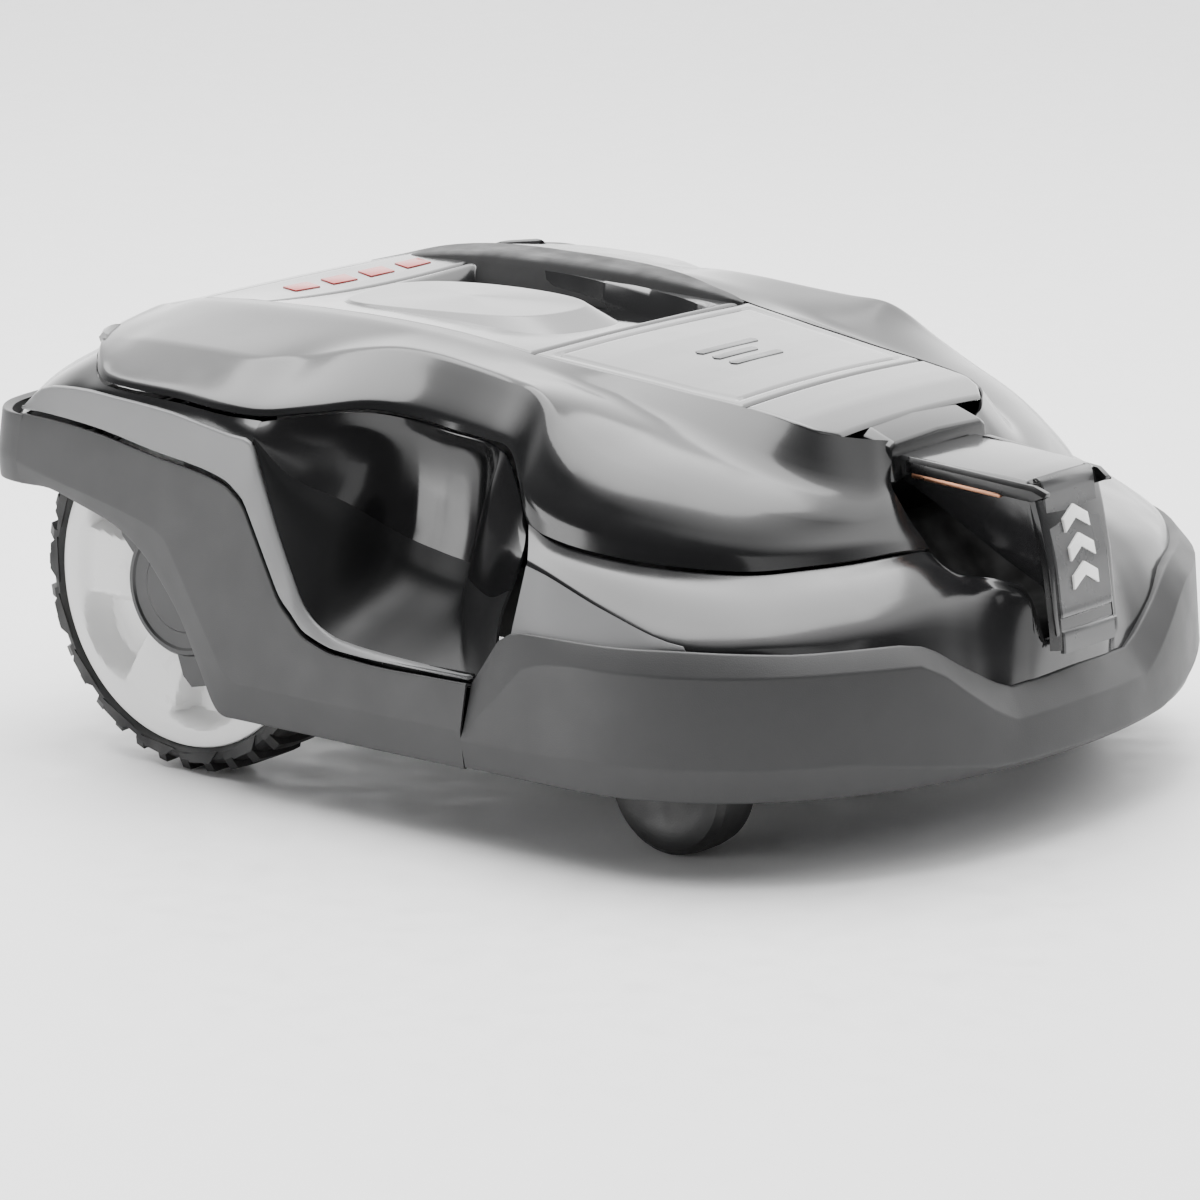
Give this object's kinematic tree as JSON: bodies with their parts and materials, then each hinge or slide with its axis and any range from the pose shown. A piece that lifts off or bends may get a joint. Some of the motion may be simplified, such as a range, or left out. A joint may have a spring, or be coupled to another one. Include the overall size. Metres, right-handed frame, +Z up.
{
  "type": "robotic lawn mower",
  "caption": "Low wheeled robotic lawn mower with a floating bumper shell, a hatch over its controls, large rear drive wheels, front casters and a height-adjusted pivoting-blade disc.",
  "frame": {"origin": "on the ground, under the middle of the machine's box", "axes": "+Z up, -Y towards the nose, +X towards the machine's own left side"},
  "size_m": [0.508, 0.63, 0.257],
  "materials": {
    "cover_gloss": "gloss",
    "skirt_matte": "fine grain",
    "strip_satin": "satin",
    "deck_satin": "satin",
    "handle_matte": "fine grain",
    "badge_light": "gloss",
    "rail_black": "satin",
    "contact_copper": "satin",
    "chassis_black": "fine grain",
    "seal_rubber": "matte",
    "bush_brass": "satin",
    "display_glass": "gloss",
    "key_grey": "matte",
    "battery_blue": "shrink film",
    "board_green": "solder mask",
    "motor_steel": "satin",
    "screw_steel": "bright",
    "blade_steel": "ground",
    "disc_steel": "stamped",
    "carrier_plastic": "moulded",
    "skid_plastic": "moulded",
    "tyre_rubber": "matte",
    "rim_white": "satin",
    "cap_grey": "satin",
    "front_wheel_black": "fine grain",
    "stop_red": "satin",
    "switch_black": "satin",
    "knob_plastic": "moulded"
  },
  "bodies": {
    "chassis": {"lower_chassis": "chassis_black", "upper_chassis": "chassis_black", "chassis_seal": "seal_rubber", "caster_bushes": "bush_brass", "display": "display_glass", "keypad_frame": "knob_plastic", "battery_pack": "battery_blue", "main_board": "board_green", "gearmotor_right": "motor_steel", "gearmotor_left": "motor_steel", "chassis_screws": "screw_steel", "cutter_guide": "carrier_plastic", "suspension_posts": "seal_rubber"},
    "collars": {"lift_collars": "chassis_black"},
    "shell": {"top_cover": "cover_gloss", "body_shell": "cover_gloss", "tail_shell": "cover_gloss", "front_bumper": "skirt_matte", "rear_skirt": "skirt_matte", "side_skirt_right": "skirt_matte", "side_skirt_left": "skirt_matte", "side_strip_right": "strip_satin", "side_strip_left": "strip_satin", "nose_block": "cover_gloss", "nose_plate": "cover_gloss", "nose_badge": "badge_light", "charge_rails": "rail_black", "contact_strips": "contact_copper", "deck_front": "deck_satin", "deck_rear": "cover_gloss", "handle_bar": "handle_matte", "hatch_pins": "screw_steel"},
    "hatch": {"hatch_cover": "deck_satin"},
    "stop": {"stop_button": "stop_red"},
    "knob": {"height_knob": "knob_plastic"},
    "switch": {"main_switch": "switch_black"},
    "cutter": {"cutter_carrier": "carrier_plastic", "cutting_motor": "motor_steel"},
    "disc": {"blade_disc": "disc_steel", "disc_fasteners": "screw_steel"},
    "skid": {"skid_plate": "skid_plastic"},
    "key_1": {"key_1": "key_grey"},
    "key_2": {"key_2": "key_grey"},
    "key_3": {"key_3": "key_grey"},
    "key_4": {"key_4": "key_grey"},
    "blade_1": {"blade_1": "blade_steel"},
    "blade_2": {"blade_2": "blade_steel"},
    "blade_3": {"blade_3": "blade_steel"},
    "drive_wheel_right": {"drive_tyre_right": "tyre_rubber", "drive_rim_right": "rim_white", "hub_cap_right": "cap_grey", "drive_axle_right": "motor_steel"},
    "caster_right": {"caster_fork_right": "motor_steel"},
    "front_wheel_right": {"caster_wheel_right": "front_wheel_black"},
    "drive_wheel_left": {"drive_tyre_left": "tyre_rubber", "drive_rim_left": "rim_white", "hub_cap_left": "cap_grey", "drive_axle_left": "motor_steel"},
    "caster_left": {"caster_fork_left": "motor_steel"},
    "front_wheel_left": {"caster_wheel_left": "front_wheel_black"}
  },
  "joints": [
    {"name": "shell_lift", "type": "slide", "parent": "chassis", "child": "collars", "axis": [0, 0, 1], "range_m": [0, 0.008]},
    {"name": "shell_bump", "type": "slide", "parent": "collars", "child": "shell", "axis": [0, 1, 0], "range_m": [-0.005, 0.005], "stiffness_N_per_m": 4000},
    {"name": "hatch_hinge", "type": "hinge", "parent": "shell", "child": "hatch", "pos_m": [0, -0.134, 0.2282], "axis": [1, 0, 0], "range_deg": [0, 80]},
    {"name": "stop_press", "type": "slide", "parent": "shell", "child": "stop", "axis": [0, 0, -1], "range_m": [0, 0.004], "stiffness_N_per_m": 1500},
    {"name": "knob_turn", "type": "hinge", "parent": "chassis", "child": "knob", "pos_m": [0, -0.03, 0.21], "axis": [0, 0, 1], "range_deg": [-135, 135]},
    {"name": "cutter_lift", "type": "slide", "parent": "chassis", "child": "cutter", "axis": [0, 0, 1], "range_m": [-0.02, 0.02]},
    {"name": "disc_spin", "type": "hinge", "parent": "cutter", "child": "disc", "pos_m": [0, -0.03, 0.04], "axis": [0, 0, 1], "continuous": true},
    {"name": "skid_spin", "type": "hinge", "parent": "disc", "child": "skid", "pos_m": [0, -0.03, 0.028], "axis": [0, 0, 1], "continuous": true},
    {"name": "switch_rock", "type": "hinge", "parent": "chassis", "child": "switch", "pos_m": [0.092, 0.208, 0.067], "axis": [0, 1, 0], "range_deg": [-8, 8]},
    {"name": "key_1_press", "type": "slide", "parent": "chassis", "child": "key_1", "axis": [0, 0, -1], "range_m": [0, 0.0015], "stiffness_N_per_m": 300},
    {"name": "key_2_press", "type": "slide", "parent": "chassis", "child": "key_2", "axis": [0, 0, -1], "range_m": [0, 0.0015], "stiffness_N_per_m": 300},
    {"name": "key_3_press", "type": "slide", "parent": "chassis", "child": "key_3", "axis": [0, 0, -1], "range_m": [0, 0.0015], "stiffness_N_per_m": 300},
    {"name": "key_4_press", "type": "slide", "parent": "chassis", "child": "key_4", "axis": [0, 0, -1], "range_m": [0, 0.0015], "stiffness_N_per_m": 300},
    {"name": "blade_1_pivot", "type": "hinge", "parent": "disc", "child": "blade_1", "pos_m": [0, -0.108, 0.0384], "axis": [0, 0, 1], "continuous": true},
    {"name": "blade_2_pivot", "type": "hinge", "parent": "disc", "child": "blade_2", "pos_m": [0.06755, 0.009, 0.0384], "axis": [0, 0, 1], "continuous": true},
    {"name": "blade_3_pivot", "type": "hinge", "parent": "disc", "child": "blade_3", "pos_m": [-0.06755, 0.009, 0.0384], "axis": [0, 0, 1], "continuous": true},
    {"name": "drive_right_spin", "type": "hinge", "parent": "chassis", "child": "drive_wheel_right", "pos_m": [-0.21, 0.155, 0.108], "axis": [1, 0, 0], "continuous": true},
    {"name": "caster_right_swivel", "type": "hinge", "parent": "chassis", "child": "caster_right", "pos_m": [-0.18, -0.176, 0.1], "axis": [0, 0, 1], "continuous": true},
    {"name": "front_right_spin", "type": "hinge", "parent": "caster_right", "child": "front_wheel_right", "pos_m": [-0.18, -0.166, 0.04], "axis": [1, 0, 0], "continuous": true},
    {"name": "drive_left_spin", "type": "hinge", "parent": "chassis", "child": "drive_wheel_left", "pos_m": [0.21, 0.155, 0.108], "axis": [1, 0, 0], "continuous": true},
    {"name": "caster_left_swivel", "type": "hinge", "parent": "chassis", "child": "caster_left", "pos_m": [0.18, -0.176, 0.1], "axis": [0, 0, 1], "continuous": true},
    {"name": "front_left_spin", "type": "hinge", "parent": "caster_left", "child": "front_wheel_left", "pos_m": [0.18, -0.166, 0.04], "axis": [1, 0, 0], "continuous": true}
  ],
  "couplings": [
    {"joint": "knob_turn", "follows": "cutter_lift", "rad_per_m": 117.81}
  ]
}
